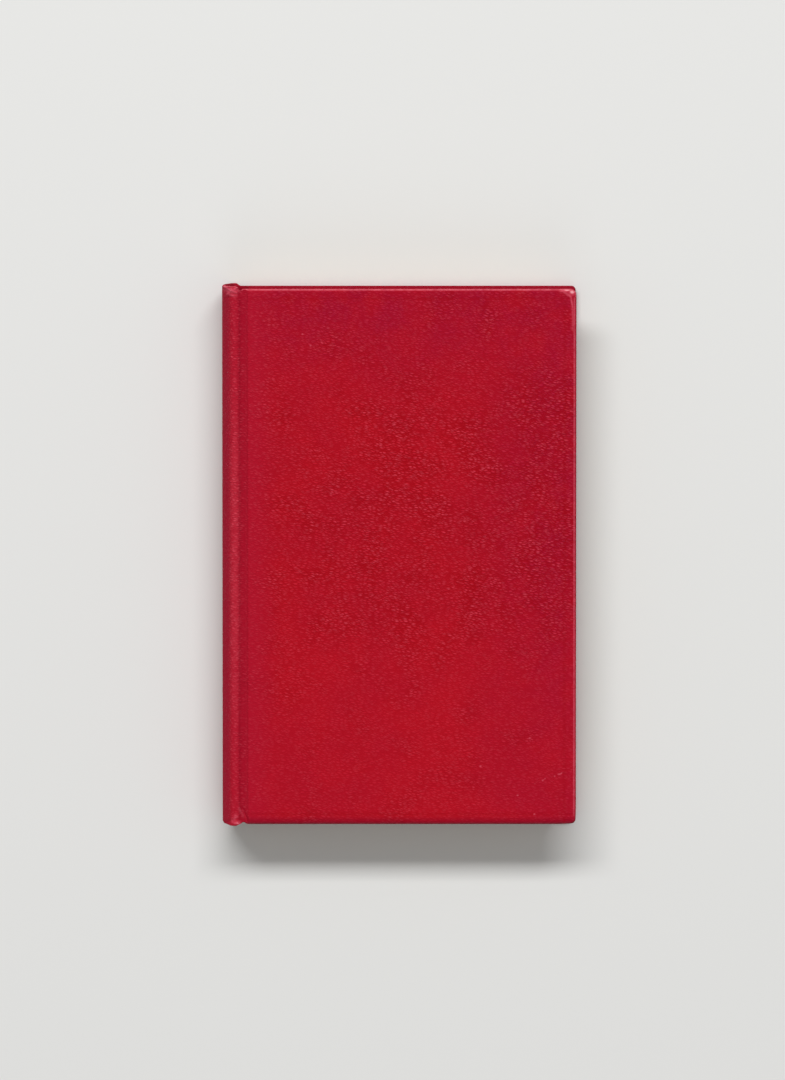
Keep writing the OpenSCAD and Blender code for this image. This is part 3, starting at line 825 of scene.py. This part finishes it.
def clothFinish(name, front):
    # Each layer of colour is laid over the ones before it
    g, k = grainSizes, clothColours
    f = Finish(name, Specular_IOR_Level=0.04)
    height = f.z if front else book["topZ"] - f.z
    grain = grainPattern(f)
    flank = f.ramp(f.x, *clothZones["flank"])
    broken = f.clouds(*g["broken"])
    edgeRubAndSheen = f.value("rubAndSheen") * (0.45 + broken * 0.55)
    layers = faceLayers(f, grain) + jointLayers(f, height, flank)
    layers += rubLayers(f, height, grain, edgeRubAndSheen, broken)
    if front:
        layers.append(markLayer(f))
    base = f.blend(f.clouds(*g["mottle"]), k["deep"], k["bright"])
    for mask, share, shade in layers:
        base = f.blend(mask * share, base, k[shade])
    rough = 0.5 - grain["glint"] * 0.12 - edgeRubAndSheen * 0.06 + grain["valley"] * 0.1 + flank * 0.25
    f.feed(Base_Color=base, Roughness=rough)
    pebbles = ((1 - grain["valley"]) * 0.8 + f.noise(f.place, *g["fine"]) * 0.3) * grain["strong"]
    f.relief(pebbles + f.noise(f.place, *g["big"]) * 0.5, g["relief"])
    return f


paint(frontCloth, clothFinish("crimson grained cloth, front", True))
paint(backCloth, clothFinish("crimson grained cloth, back", False))
print("cloth finished")


# Inner pieces keep their CAD shape. Noises have length, detail and roughness, and a ramp that cuts them.
innerSizes = {
    "cloud": ((24.0, 3.0, 0.5), (0.35, 0.7)), "fibreStretch": (1, 0.35, 1), "fibreRelief": 0.012,
    # Page edges: half thickness at the shoulders, X between which the lines fan out, and how far they run
    "shoulders": 7.8, "fan": (-39.5, -43.5), "lines": (0.12, 2.0, 0.7), "lineRun": 0.004,
    "groups": (1.3, 2.0, 0.5), "groupRun": 0.01, "dirt": ((14.0, 3.0, 0.6), (0.5, 0.8)), "leafRelief": 0.08,
}
leafColours = {
    "shade": colour(196, 180, 148), "page": colour(236, 226, 200), "group": colour(206, 190, 158),
    "dirt": colour(190, 170, 134),
}


def paperFinish(name, tone, fibre):
    # Faint clouds and a fine relief of fibres
    s = innerSizes
    f = Finish(name, Roughness=0.85, Specular_IOR_Level=0.25)
    darker = [v * 0.98 for v in tone]
    f.feed(Base_Color=f.blend(f.clouds(*s["cloud"]), colour(*tone), colour(*darker)))
    f.relief(f.noise(f.stretched(f.place, s["fibreStretch"]), fibre, 4.0, 0.65), s["fibreRelief"])
    return f


def leafFinish():
    # Page edges: thin lines that lie flat in the middle of the block and fan out towards the shoulders
    s, k, pages = innerSizes, leafColours, book["pages"] / 2
    f = Finish("cut page edges", Roughness=0.8, Specular_IOR_Level=0.25)
    half = f.ramp(f.x, *s["fan"], pages, s["shoulders"])
    level = (f.z - book["middleZ"]) / half * pages
    lines = f.noise(f.join(f.x * s["lineRun"], f.y * s["lineRun"], level), *s["lines"])
    groups = f.noise(f.join(f.x * s["groupRun"], f.y * s["groupRun"], level), *s["groups"])
    base = f.blend(f.ramp(lines, 0.35, 0.65), k["shade"], k["page"])
    base = f.blend(f.ramp(groups, 0.35, 0.7) * 0.35, base, k["group"])
    base = f.blend(f.clouds(*s["dirt"]) * 0.25, base, k["dirt"])
    f.feed(Base_Color=base)
    f.relief(lines * 0.6 + groups * 0.8, s["leafRelief"])
    return f


def weaveFinish(name, tone, pitch, relief, ribs=False):
    # Plain weave of two sine waves, or ribs across the band, of one, with painted shade where it lies low
    f = Finish(name, Roughness=0.85, Specular_IOR_Level=0.3)
    turn = 2 * math.pi / pitch
    weft = maths("SINE", f.z * turn)
    height = weft if ribs else maths("SINE", f.y * turn) * weft
    # Painted shade: darker where the weave lies low
    darker = [v * 0.72 for v in tone]
    f.feed(Base_Color=f.blend(f.ramp(height, -1.0, 1.0), colour(*darker), colour(*tone)))
    f.relief(height, relief)
    return f


endpaperFinish = paperFinish("endpaper", (238, 232, 214), 0.5)
boardFinish = paperFinish("grey board", (132, 124, 108), 0.3)
mullFinish = weaveFinish("open weave mull", (224, 218, 198), 0.8, 0.08)
bandFinish = weaveFinish("cream headband", (226, 214, 184), 0.75, 0.12, True)
finishes = {
    "text_block": leafFinish(),
    "spine_lining": paperFinish("kraft lining", (168, 132, 92), 0.4),
    "spine_card": paperFinish("grey card", (148, 138, 120), 0.3),
    "front_board": boardFinish, "back_board": boardFinish,
    "spine_mull": mullFinish, "front_mull_flap": mullFinish, "back_mull_flap": mullFinish,
    "headband": bandFinish, "tailband": bandFinish,
}
for sheet in papers:
    paint(sheet, endpaperFinish)
for node, finish in finishes.items():
    paint(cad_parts[node], finish)
print("inner pieces finished")


# Floor, light and camera, in metres
studio = {
    "floor": (218, 218, 216), "floorHalf": 3.0, "world": 0.33,
    "keyPower": 90.0, "keyPlace": (-0.10, 1.84, 2.30), "keySize": (3.0, 0.6),
    "fillPower": 8.0, "fillPlace": (0.0, -2.2, 1.8), "fillSize": (1.6, 1.6),
    # The camera looks at a point of the cover's top from 3 m, leaning a little towards the head
    "photoHeight": 0.2956, "centre": (-0.0018, 0.0047), "away": 3.0, "lean": 4.3,
    "sensor": 36, "clip": (0.05, 20),
}


def makeFloor():
    # A plain square under the book
    s = studio["floorHalf"]
    mesh = bpy.data.meshes.new("floor")
    mesh.from_pydata([(-s, -s, 0), (s, -s, 0), (s, s, 0), (-s, s, 0)], [], [(0, 1, 2, 3)])
    floor = bpy.data.objects.new("floor", mesh)
    bpy.context.scene.collection.objects.link(floor)
    tone = colour(*studio["floor"])
    paint(floor, Finish("pale floor", Roughness=0.9, Specular_IOR_Level=0.0, Base_Color=tone))


def makeLight(name):
    # A soft rectangle that faces the book
    lamp = bpy.data.lights.new(name, "AREA")
    lamp.shape = "RECTANGLE"
    lamp.size, lamp.size_y = studio[name + "Size"]
    lamp.energy = studio[name + "Power"]
    light = bpy.data.objects.new(name, lamp)
    x, y, z = studio[name + "Place"]
    light.location = (x, y, z)
    light.rotation_euler = (math.atan2(math.hypot(x, y), z), 0, math.atan2(-x, y) + math.pi)
    bpy.context.scene.collection.objects.link(light)


def makeWorld():
    # An even white sky
    world = bpy.data.worlds.new("soft room")
    world.use_nodes = True
    background = world.node_tree.nodes["Background"]
    background.inputs["Color"].default_value = (1, 1, 1, 1)
    background.inputs["Strength"].default_value = studio["world"]
    bpy.context.scene.world = world


def makeCamera():
    # The lens fits the photograph's height at the cover's top: focal length = sensor * distance / height
    lens = bpy.data.cameras.new("camera")
    lens.lens = studio["sensor"] * studio["away"] / studio["photoHeight"]
    lens.sensor_fit = "VERTICAL"
    lens.sensor_height = studio["sensor"]
    lens.clip_start, lens.clip_end = studio["clip"]
    camera = bpy.data.objects.new("camera", lens)
    lean, away, (x, y) = math.radians(studio["lean"]), studio["away"], studio["centre"]
    camera.rotation_euler = (-lean, 0, 0)
    camera.location = (x, y + away * math.sin(lean), book["topZ"] * mm + away * math.cos(lean))
    bpy.context.scene.collection.objects.link(camera)
    return camera


makeFloor()
makeLight("key")
makeLight("fill")
makeWorld()
bpy.context.scene.camera = makeCamera()
bpy.context.scene.view_settings.view_transform = "Standard"
print("studio ready")
